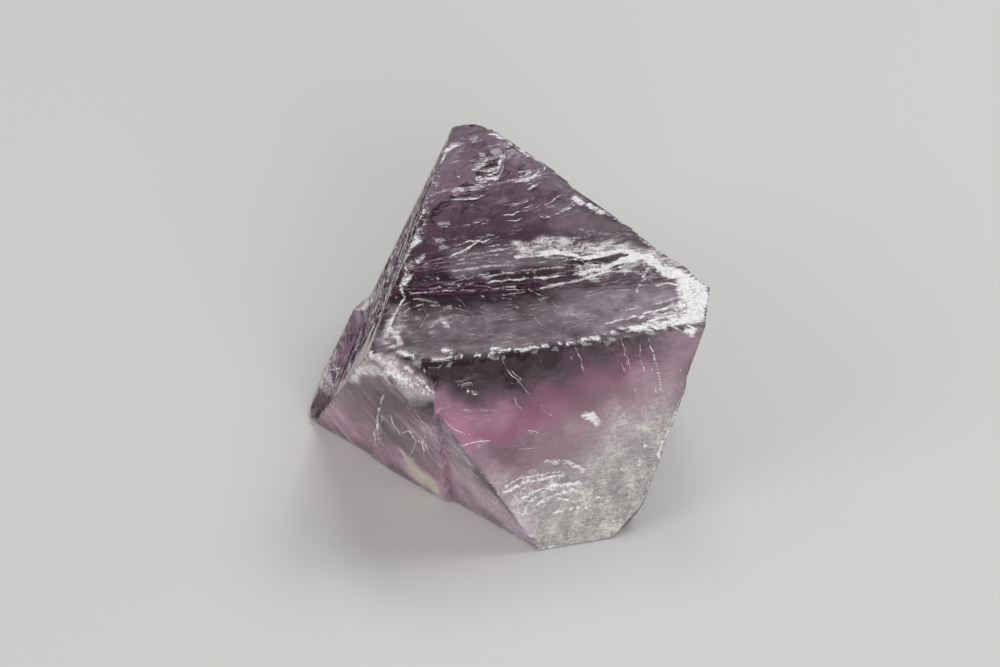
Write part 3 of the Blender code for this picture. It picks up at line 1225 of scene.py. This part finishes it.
    # Haze is mottled and grained, frost is patchy, and the painted pink glow is cloudy. Dark streaks lie
    # between the long white ones and are laid into the painted shade.
    share = add(tree, "ShaderNodeMath", {0: icy, 1: 0.45, 2: 0.25}, **plus)
    share = add(tree, "ShaderNodeMath", {0: grainy, 1: 0.35, 2: share}, **plus)
    haze = add(tree, "ShaderNodeMath", {0: masks["haze"], 1: share}, **times)
    inputs = {"Value": noises["patch"], "From Min": 0.30, "From Max": 0.66}
    where = add(tree, "ShaderNodeMapRange", inputs, **soft)
    share = add(tree, "ShaderNodeMath", {0: where, 1: 0.35, 2: 0.65}, **plus)
    frost = add(tree, "ShaderNodeMath", {0: masks["frost"], 1: share}, **times)
    share = add(tree, "ShaderNodeMath", {0: mottle, 1: 1.1, 2: 0.45}, **plus)
    glow = add(tree, "ShaderNodeMath", {0: masks["glow"], 1: share}, **times)
    inputs = {"Value": noises["long"], "From Min": 0.50, "From Max": 0.40}
    sharp = add(tree, "ShaderNodeMapRange", inputs, **soft)
    dark = add(tree, "ShaderNodeMath", {0: masks["long"], 1: sharp}, **times)
    shade = add(tree, "ShaderNodeMath", {0: masks["shade"], 1: dark}, **most)

    toe_share = add(tree, "ShaderNodeMapRange", {"Value": spots, "From Min": 0.40, "From Max": 0.60}, **soft)
    inputs = {0: toe_share, 6: linear("#938D8A"), 7: list(settings.frost_colour) + [1]}
    toe = add(tree, "ShaderNodeMix", inputs, data_type="RGBA").outputs[2]
    inputs = {"Value": speckle, "From Min": 0.30, "From Max": 0.55}
    ice_share = add(tree, "ShaderNodeMapRange", inputs, **soft)
    inputs = {0: ice_share, 6: linear("#DAD4DC"), 7: linear("#FFFFFF")}
    ice = add(tree, "ShaderNodeMix", inputs, data_type="RGBA").outputs[2]
    # Colour in layers: the painted pink glow, the painted purple shade, then frost, haze, cream and white.
    colour = linear("#F1E8EF")
    for amount, tint in (
        (glow, list(settings.painted_glow_colour) + [1]),
        (shade, list(settings.painted_shade_colour) + [1]),
        (frost, toe),
        (haze, linear("#E2C8D8")),
        (masks["cream"], linear("#DAD2C2")),
        (white, ice),
    ):
        colour = add(tree, "ShaderNodeMix", {0: amount, 6: colour, 7: tint}, data_type="RGBA").outputs[2]

    # What covers the face takes this share of its clearness.
    clear = 1.0
    covers = (white, 0.92), (haze, 0.6), (frost, 0.85), (masks["glow"], 0.42), (masks["cream"], 0.8)
    for cover, taken in covers:
        left = add(tree, "ShaderNodeMath", {0: cover, 1: -taken, 2: 1.0}, **plus)
        clear = add(tree, "ShaderNodeMath", {0: clear, 1: left}, **times)
    rough = add(tree, "ShaderNodeMath", {0: haze, 1: frost}, **most)
    rough = add(tree, "ShaderNodeMath", {0: rough, 1: 0.3, 2: 0.06}, **plus)
    rough = add(tree, "ShaderNodeMath", {0: white, 1: 0.35, 2: rough}, **plus)

    # Thin cleavage terraces: the level lines of a smooth relief that is drawn out along the grain.
    level = add(tree, "ShaderNodeMath", {0: noises["relief"], 1: 22.0}, **times)
    level = add(tree, "ShaderNodeMath", {0: level}, operation="FLOOR")
    level = add(tree, "ShaderNodeMath", {0: level, 1: 0.12}, **times)
    grit = add(tree, "ShaderNodeMath", {0: white, 1: 0.5, 2: 0.08}, **plus)
    relief = add(tree, "ShaderNodeMath", {0: speckle, 1: grit, 2: level}, **plus)
    normal = add(tree, "ShaderNodeBump", {"Strength": 0.5, "Distance": 0.05 * MM, "Height": relief})

    inputs = {"Base Color": colour, "Transmission Weight": clear, "Roughness": rough, "Normal": normal}
    surface = add(tree, "ShaderNodeBsdfPrincipled", {**inputs, "IOR": settings.ior})
    inputs = {"Color": list(settings.body_colour) + [1], "Density": settings.body_density}
    body = add(tree, "ShaderNodeVolumeAbsorption", inputs)
    add(tree, "ShaderNodeOutputMaterial", {"Surface": surface, "Volume": body})
    return material


def colour_property(name, description, default):
    """A colour that a user may change, its default given as sRGB hex."""
    value = linear(default)[:3]
    return FloatVectorProperty(name=name, description=description, default=value, subtype="COLOR")


def size_property(name, description, default):
    """A size or an amount that a user may change."""
    return FloatProperty(name=name, description=description, default=default)


class CrystalSettings(PropertyGroup):
    """Sizes in mm and finishes of the crystal."""

    spacing: size_property("Spacing", "Between mesh points on a clear face, in mm", 0.36)
    edge_spacing: size_property("Edge spacing", "Between mesh points on a ridge, in mm", 0.14)
    ridge_wear: size_property("Ridge wear", "Depth of wear along a ridge, in mm", 0.05)
    ridge_bite: size_property("Ridge bite", "Depth of the deepest small bite, in mm", 0.28)
    corner_wear: size_property("Corner wear", "Depth of wear at a corner, in mm", 0.14)
    crush_depth: size_property("Crush depth", "Relief of crushed places, in mm", 0.12)
    facet_angle: size_property("Facet angle", "Sharpest smooth edge, in degrees", 16.0)
    ior: size_property("IOR", "Refractive index of fluorite", 1.434)
    body_colour: colour_property("Body colour", "Tint of the clear body", "#B4719F")
    body_density: size_property("Body density", "Absorption per metre", 130.0)
    # Painted light and shade: the glow colour stands for light gathered inside, the shade colour for shade.
    painted_glow_colour: colour_property("Glow colour", "The pink zone", "#E27FAE")
    painted_shade_colour: colour_property("Shade colour", "The purple zone", "#6B5266")
    frost_colour: colour_property("Frost colour", "The frosted toe", "#E6E7DD")


class InsideSettings(PropertyGroup):
    """Sizes of what is sealed in the crystal and of the grit on it, in mm."""

    cover: size_property("Cover", "Fluorite over a hairline crack, in mm", 0.3)
    veil_cover: size_property("Veil cover", "Least fluorite over a veil, in mm", 0.8)
    hairline_depth: size_property("Hairline depth", "Deepest hairline crack, in mm", 1.2)
    grain: size_property("Grain", "Largest crushed grain, in mm", 0.16)
    grit_density: size_property("Grit density", "Most grains per square mm", 14.0)


class StageSettings(PropertyGroup):
    """The floor and the lights."""

    floor_colour: colour_property("Floor colour", "The pale floor", "#D9D8D6")
    key_power: size_property("Key power", "Power of the main light, in W", 1.3)
    side_power: size_property("Side power", "Power of the side light, in W", 0.6)
    back_power: size_property("Back power", "Power of the back light, in W", 0.6)
    front_power: size_property("Front power", "Power of the front light, in W", 1.2)
    world_light: size_property("Surroundings", "Brightness of the surroundings", 0.24)


def film_in_fluorite(name, colour, strongest, size):
    """Air caught in a cleavage crack: a silvery film that is clear in places and milky in others."""
    material = fresh_material(name)
    tree = material.node_tree
    place = add(tree, "ShaderNodeTexCoord").outputs["Object"]
    fade = add(tree, "ShaderNodeAttribute", attribute_name="film").outputs["Fac"]
    inputs = {"Vector": place, "Scale": per_metre(size), "Detail": 4.0, "Roughness": 0.65}
    cloud = add(tree, "ShaderNodeTexNoise", inputs).outputs["Fac"]
    inputs = {"Value": cloud, "From Min": 0.40, "From Max": 0.66, "To Max": strongest}
    film = add(tree, "ShaderNodeMapRange", inputs, interpolation_type="SMOOTHSTEP")
    film = add(tree, "ShaderNodeMath", {0: film, 1: fade}, operation="MULTIPLY")
    clear = add(tree, "ShaderNodeMath", {0: 1.0, 1: film}, operation="SUBTRACT")
    inputs = {"Base Color": linear(colour), "Transmission Weight": clear, "Roughness": 0.0, "IOR": 1.0}
    sheet = add(tree, "ShaderNodeBsdfPrincipled", inputs)
    add(tree, "ShaderNodeOutputMaterial", {"Surface": sheet})
    return material


def node_group(name, sizes):
    """A Geometry Nodes tree with a geometry input and output, and a named float input for each size."""
    tree = bpy.data.node_groups.new(name, "GeometryNodeTree")
    tree.interface.new_socket("Geometry", in_out="INPUT", socket_type="NodeSocketGeometry")
    for size, value in sizes.items():
        socket = tree.interface.new_socket(size, in_out="INPUT", socket_type="NodeSocketFloat")
        socket.default_value = value
    tree.interface.new_socket("Geometry", in_out="OUTPUT", socket_type="NodeSocketGeometry")
    return tree


def grown(name, base, tree, sizes):
    """A plain mesh object of what the tree makes from the base mesh with these sizes."""
    source = bpy.data.objects.new(name + "_base", base)
    bpy.context.scene.collection.objects.link(source)
    modifier = source.modifiers.new("grow", "NODES")
    modifier.node_group = tree
    for item in tree.interface.items_tree:
        if item.in_out == "INPUT" and item.name in sizes:
            modifier[item.identifier] = sizes[item.name]
    evaluated = source.evaluated_get(bpy.context.evaluated_depsgraph_get())
    mesh = bpy.data.meshes.new_from_object(evaluated)
    mesh.name = name
    piece = bpy.data.objects.new(name, mesh)
    bpy.context.scene.collection.objects.link(piece)
    bpy.data.objects.remove(source)
    return piece


def finish_piece(piece):
    """Says what carries a piece."""
    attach(piece, BODY)


def curtain_tree(material):
    """Hangs a thin sheet from each edge of its lines, inwards, for as far as noise and Depth say."""
    tree = node_group("hairline_curtain", {"Depth": 0.5 * MM, "Ripple": 0.6 * MM})
    start = add(tree, "NodeGroupInput")
    inward = add(tree, "GeometryNodeInputNamedAttribute", {"Name": "inward"}, data_type="FLOAT_VECTOR")
    place = add(tree, "GeometryNodeInputPosition")
    scale = add(tree, "ShaderNodeMath", {0: 1.0, 1: start.outputs["Ripple"]}, operation="DIVIDE")
    inputs = {"Vector": place, "Scale": scale, "Detail": 2.0}
    ripple = add(tree, "ShaderNodeTexNoise", inputs)
    inputs = {0: ripple.outputs["Fac"], 1: start.outputs["Depth"]}
    depth = add(tree, "ShaderNodeMath", inputs, operation="MULTIPLY")
    inputs = {"Mesh": start, "Offset": inward.outputs["Attribute"], "Offset Scale": depth}
    hung = add(tree, "GeometryNodeExtrudeMesh", inputs, mode="EDGES")
    rim = add(tree, "FunctionNodeBooleanMath", {0: hung.outputs["Top"]}, operation="NOT")
    inputs = {"Geometry": hung.outputs["Mesh"], "Name": "film", "Value": rim}
    stored = add(tree, "GeometryNodeStoreNamedAttribute", inputs, data_type="FLOAT", domain="POINT")
    real = add(tree, "GeometryNodeRealizeInstances", {"Geometry": stored})
    painted = add(tree, "GeometryNodeSetMaterial", {"Geometry": real, "Material": material})
    add(tree, "NodeGroupOutput", {"Geometry": painted})
    return tree


def grit_tree(material):
    """Strews angular grains where the surface is crushed, at random sizes up to Grain."""
    tree = node_group("crushed_grit", {"Grain": 0.14 * MM, "Density": 2.0e7})
    start = add(tree, "NodeGroupInput")
    crush = add(tree, "GeometryNodeInputNamedAttribute", {"Name": "crush"}, data_type="FLOAT")
    inputs = {"Value": crush.outputs["Attribute"], "From Min": 0.55, "From Max": 1.0}
    most = add(tree, "ShaderNodeMapRange", inputs)
    inputs = {0: most, 1: start.outputs["Density"]}
    density = add(tree, "ShaderNodeMath", inputs, operation="MULTIPLY")
    inputs = {"Mesh": start, "Density": density, "Seed": SEED}
    strewn = add(tree, "GeometryNodeDistributePointsOnFaces", inputs)
    grain = add(tree, "GeometryNodeMeshIcoSphere", {"Radius": 0.5, "Subdivisions": 1})
    inputs = {"Min": (-math.pi,) * 3, "Max": (math.pi,) * 3, "Seed": 1}
    turn = add(tree, "FunctionNodeRandomValue", inputs, data_type="FLOAT_VECTOR")
    inputs = {"Min": (0.25, 0.25, 0.15), "Max": (1.0, 0.7, 0.4), "Seed": 2}
    stretch = add(tree, "FunctionNodeRandomValue", inputs, data_type="FLOAT_VECTOR")
    inputs = {0: stretch, "Scale": start.outputs["Grain"]}
    size = add(tree, "ShaderNodeVectorMath", inputs, operation="SCALE")
    inputs = {"Points": strewn, "Instance": grain, "Rotation": turn, "Scale": size}
    placed = add(tree, "GeometryNodeInstanceOnPoints", inputs)
    real = add(tree, "GeometryNodeRealizeInstances", {"Geometry": placed})
    painted = add(tree, "GeometryNodeSetMaterial", {"Geometry": real, "Material": material})
    add(tree, "NodeGroupOutput", {"Geometry": painted})
    return tree


def crushed_fluorite():
    """Fluorite crushed to grit: bright white splinters, slightly see-through and rough."""
    material = fresh_material("crushed_fluorite")
    tree = material.node_tree
    place = add(tree, "ShaderNodeTexCoord").outputs["Object"]
    tone = add(tree, "ShaderNodeTexNoise", {"Vector": place, "Scale": per_metre(0.8), "Detail": 2.0})
    ramp = add(tree, "ShaderNodeValToRGB", {"Fac": tone})
    for element, position, tint in zip(ramp.color_ramp.elements, (0.35, 0.6), ("#D9D2DA", "#FFFFFF")):
        element.position = position
        element.color = linear(tint)
    inputs = {"Base Color": ramp.outputs[0], "Transmission Weight": 0.25, "Roughness": 0.3, "IOR": 1.434}
    grit = add(tree, "ShaderNodeBsdfPrincipled", inputs)
    add(tree, "ShaderNodeOutputMaterial", {"Surface": grit})
    return material


def held_inside(faces, points, cover):
    """The points, drawn towards the middle until each is this far under the worn surface."""
    ways = points - MIDDLE
    share = np.ones(len(points))
    for face in faces.values():
        ahead = ways @ face.normal
        near = np.flatnonzero(ahead > 1.0)
        missing = face.missing(face.outward(points[near]))
        room = face.distance - missing - cover - MIDDLE @ face.normal
        share[near] = np.minimum(share[near], room / ahead[near])
    return MIDDLE + ways * share[:, None]


class FLUORITE_OT_crystal(Operator):
    """Builds the crystal's worn surface and its glass"""

    bl_idname = "fluorite.crystal"
    bl_label = "Crystal"

    def execute(self, context):
        settings = context.scene.fluorite_crystal
        crystal = build_crystal(settings)
        crystal.data.materials.append(cleaved_fluorite(settings))
        finish_piece(crystal)
        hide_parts(NODE)
        return {"FINISHED"}


class FLUORITE_OT_hairlines(Operator):
    """Hangs hairline cracks under the faces"""

    bl_idname = "fluorite.hairlines"
    bl_label = "Hairline cracks"

    def execute(self, context):
        settings = context.scene.fluorite_inside
        faces = stepped_faces()
        rng = np.random.default_rng(SEED + 1)
        points, edges, inward = [], [], []
        for face, places in ((faces[name], places) for name, runs in HAIRLINES.items() for places in runs):
            line = wavered(rng, face.seen(places), 0.12, 0.09)
            lean = face.across * rng.uniform(-0.5, 0.5) + face.along * rng.uniform(-0.5, 0.5)
            first = len(points)
            points.extend(held_inside(faces, face.solid(line), settings.cover))
            inward.extend([unit(lean - face.normal)] * len(line))
            edges.extend((first + i, first + i + 1) for i in range(len(line) - 1))
        mesh = bpy.data.meshes.new("hairline_cracks_base")
        mesh.from_pydata((np.array(points) * MM).tolist(), edges, [])
        layer = mesh.attributes.new("inward", "FLOAT_VECTOR", "POINT")
        layer.data.foreach_set("vector", np.array(inward, np.float32).ravel())
        film = film_in_fluorite("film_in_hairline", "#EADFE8", 0.55, 0.4)
        tree = curtain_tree(film)
        finish_piece(grown("hairline_cracks", mesh, tree, {"Depth": settings.hairline_depth * MM}))
        return {"FINISHED"}


class FLUORITE_OT_veils(Operator):
    """Hangs milky veils inside the crystal, along its cleavage"""

    bl_idname = "fluorite.veils"
    bl_label = "Veils"

    def execute(self, context):
        settings = context.scene.fluorite_inside
        faces = stepped_faces()
        rng = np.random.default_rng(SEED + 2)
        points, triangles, film = [], [], []
        for name, place, depth, plane, size in VEILS:
            face, sheet = faces[name], faces[plane]
            centre = face.solid(face.seen([place]))[0] - face.normal * depth
            first = len(points)
            points.append(centre)
            film.append(1.0)
            turn = np.linspace(0, 2 * math.pi, SPOKES + 1)[:-1]
            edge = 1 + 0.25 * np.sin(2 * turn + rng.uniform(0, 6))
            edge = edge + 0.15 * np.sin(5 * turn + rng.uniform(0, 6))
            for ring in VEIL_RINGS:
                for i, angle in enumerate(turn):
                    way = math.cos(angle) * sheet.along + 0.6 * math.sin(angle) * sheet.across
                    points.append(centre + way * size * ring * edge[i])
                    film.append(1 - ring**2)
            for i in range(SPOKES):
                j = (i + 1) % SPOKES
                triangles.append((first, first + 1 + i, first + 1 + j))
                for ring in range(len(VEIL_RINGS) - 1):
                    a = first + 1 + SPOKES * ring
                    b = a + SPOKES
                    triangles.append((a + i, b + i, b + j))
                    triangles.append((a + i, b + j, a + j))
        points = held_inside(faces, np.array(points), settings.veil_cover)
        piece = plain_mesh("cleavage_veils", points, triangles)
        layer = piece.data.attributes.new("film", "FLOAT", "POINT")
        layer.data.foreach_set("value", np.array(film, np.float32))
        piece.data.materials.append(film_in_fluorite("film_in_cleavage", "#E6DCE6", 0.55, 1.2))
        finish_piece(piece)
        return {"FINISHED"}


class FLUORITE_OT_grit(Operator):
    """Strews crushed grains over the crushed ridges and corners"""

    bl_idname = "fluorite.grit"
    bl_label = "Crushed grit"

    def execute(self, context):
        settings = context.scene.fluorite_inside
        crystal = bpy.data.objects["fluorite_crystal"]
        tree = grit_tree(crushed_fluorite())
        sizes = {"Grain": settings.grain * MM, "Density": settings.grit_density * 1e6}
        finish_piece(grown("crushed_grit", crystal.data.copy(), tree, sizes))
        return {"FINISHED"}


def area_light(name, place, size, power):
    """A soft white square light that faces the crystal."""
    light = bpy.data.lights.new(name, "AREA")
    light.size = size
    light.energy = power
    light.color = linear("#FFFFFF")[:3]
    lamp = bpy.data.objects.new(name, light)
    lamp.location = place
    lamp.rotation_euler = (LIT_PLACE - Vector(place)).to_track_quat("-Z", "Y").to_euler()
    bpy.context.scene.collection.objects.link(lamp)


class FLUORITE_OT_stage(Operator):
    """Sets the floor, the lights and the camera"""

    bl_idname = "fluorite.stage"
    bl_label = "Stage"

    def execute(self, context):
        scene = context.scene
        settings = scene.fluorite_stage
        points = FLOOR_SPAN * np.array([[-1, -1, 0], [1, -1, 0], [1, 1, 0], [-1, 1, 0]], float)
        floor = plain_mesh("floor", points - (0, 0, FLOOR_GAP), [(0, 1, 2), (0, 2, 3)])
        material = fresh_material("pale_matt_board")
        tree = material.node_tree
        colour = list(settings.floor_colour) + [1]
        board = add(tree, "ShaderNodeBsdfPrincipled", {"Base Color": colour, "Roughness": 0.75})
        add(tree, "ShaderNodeOutputMaterial", {"Surface": board})
        floor.data.materials.append(material)

        world = bpy.data.worlds.new("studio")
        world.use_nodes = True
        world.node_tree.nodes["Background"].inputs["Color"].default_value = linear("#FFFFFF")
        world.node_tree.nodes["Background"].inputs["Strength"].default_value = settings.world_light
        scene.world = world
        for name, (place, size) in LIGHTS.items():
            area_light(name + "_light", place, size, getattr(settings, name + "_power"))

        camera = bpy.data.objects.new("camera", bpy.data.cameras.new("camera"))
        camera.data.sensor_width = SENSOR_WIDTH
        camera.data.lens = LENS
        camera.data.clip_start = 0.01
        right, up, forward = (Vector(axis) for axis in camera_axes())
        turn = Matrix((right, up, -forward)).transposed().to_4x4()
        camera.matrix_world = Matrix.Translation(Vector(camera_place() * MM)) @ turn
        scene.collection.objects.link(camera)
        scene.camera = camera
        scene.view_settings.view_transform = "Standard"
        scene.cycles.max_bounces = 24
        scene.cycles.transmission_bounces = 20
        scene.cycles.transparent_max_bounces = 20
        return {"FINISHED"}


class FLUORITE_PT_pieces(Panel):
    """Lists the pieces"""

    bl_idname = "FLUORITE_PT_pieces"
    bl_label = "Fluorite octahedron"
    bl_space_type = "VIEW_3D"
    bl_region_type = "UI"
    bl_category = "Fluorite"

    def draw(self, context):
        for name in ("fluorite_crystal", "fluorite_inside", "fluorite_stage"):
            box = self.layout.box()
            group = getattr(context.scene, name)
            for key in group.bl_rna.properties.keys():
                if key not in ("rna_type", "name"):
                    box.prop(group, key)
        for operator in PIECES:
            self.layout.operator(operator.bl_idname)


PIECES = (FLUORITE_OT_crystal, FLUORITE_OT_hairlines, FLUORITE_OT_veils, FLUORITE_OT_grit, FLUORITE_OT_stage)
CLASSES = (CrystalSettings, InsideSettings, StageSettings, *PIECES, FLUORITE_PT_pieces)


def register():
    for cls in CLASSES:
        bpy.utils.register_class(cls)
    bpy.types.Scene.fluorite_crystal = PointerProperty(type=CrystalSettings)
    bpy.types.Scene.fluorite_inside = PointerProperty(type=InsideSettings)
    bpy.types.Scene.fluorite_stage = PointerProperty(type=StageSettings)


def unregister():
    del bpy.types.Scene.fluorite_stage
    del bpy.types.Scene.fluorite_inside
    del bpy.types.Scene.fluorite_crystal
    for cls in reversed(CLASSES):
        bpy.utils.unregister_class(cls)


def main():
    register()
    bpy.ops.fluorite.crystal()
    bpy.ops.fluorite.hairlines()
    bpy.ops.fluorite.veils()
    bpy.ops.fluorite.grit()
    bpy.ops.fluorite.stage()


if __name__ == "__main__":
    main()
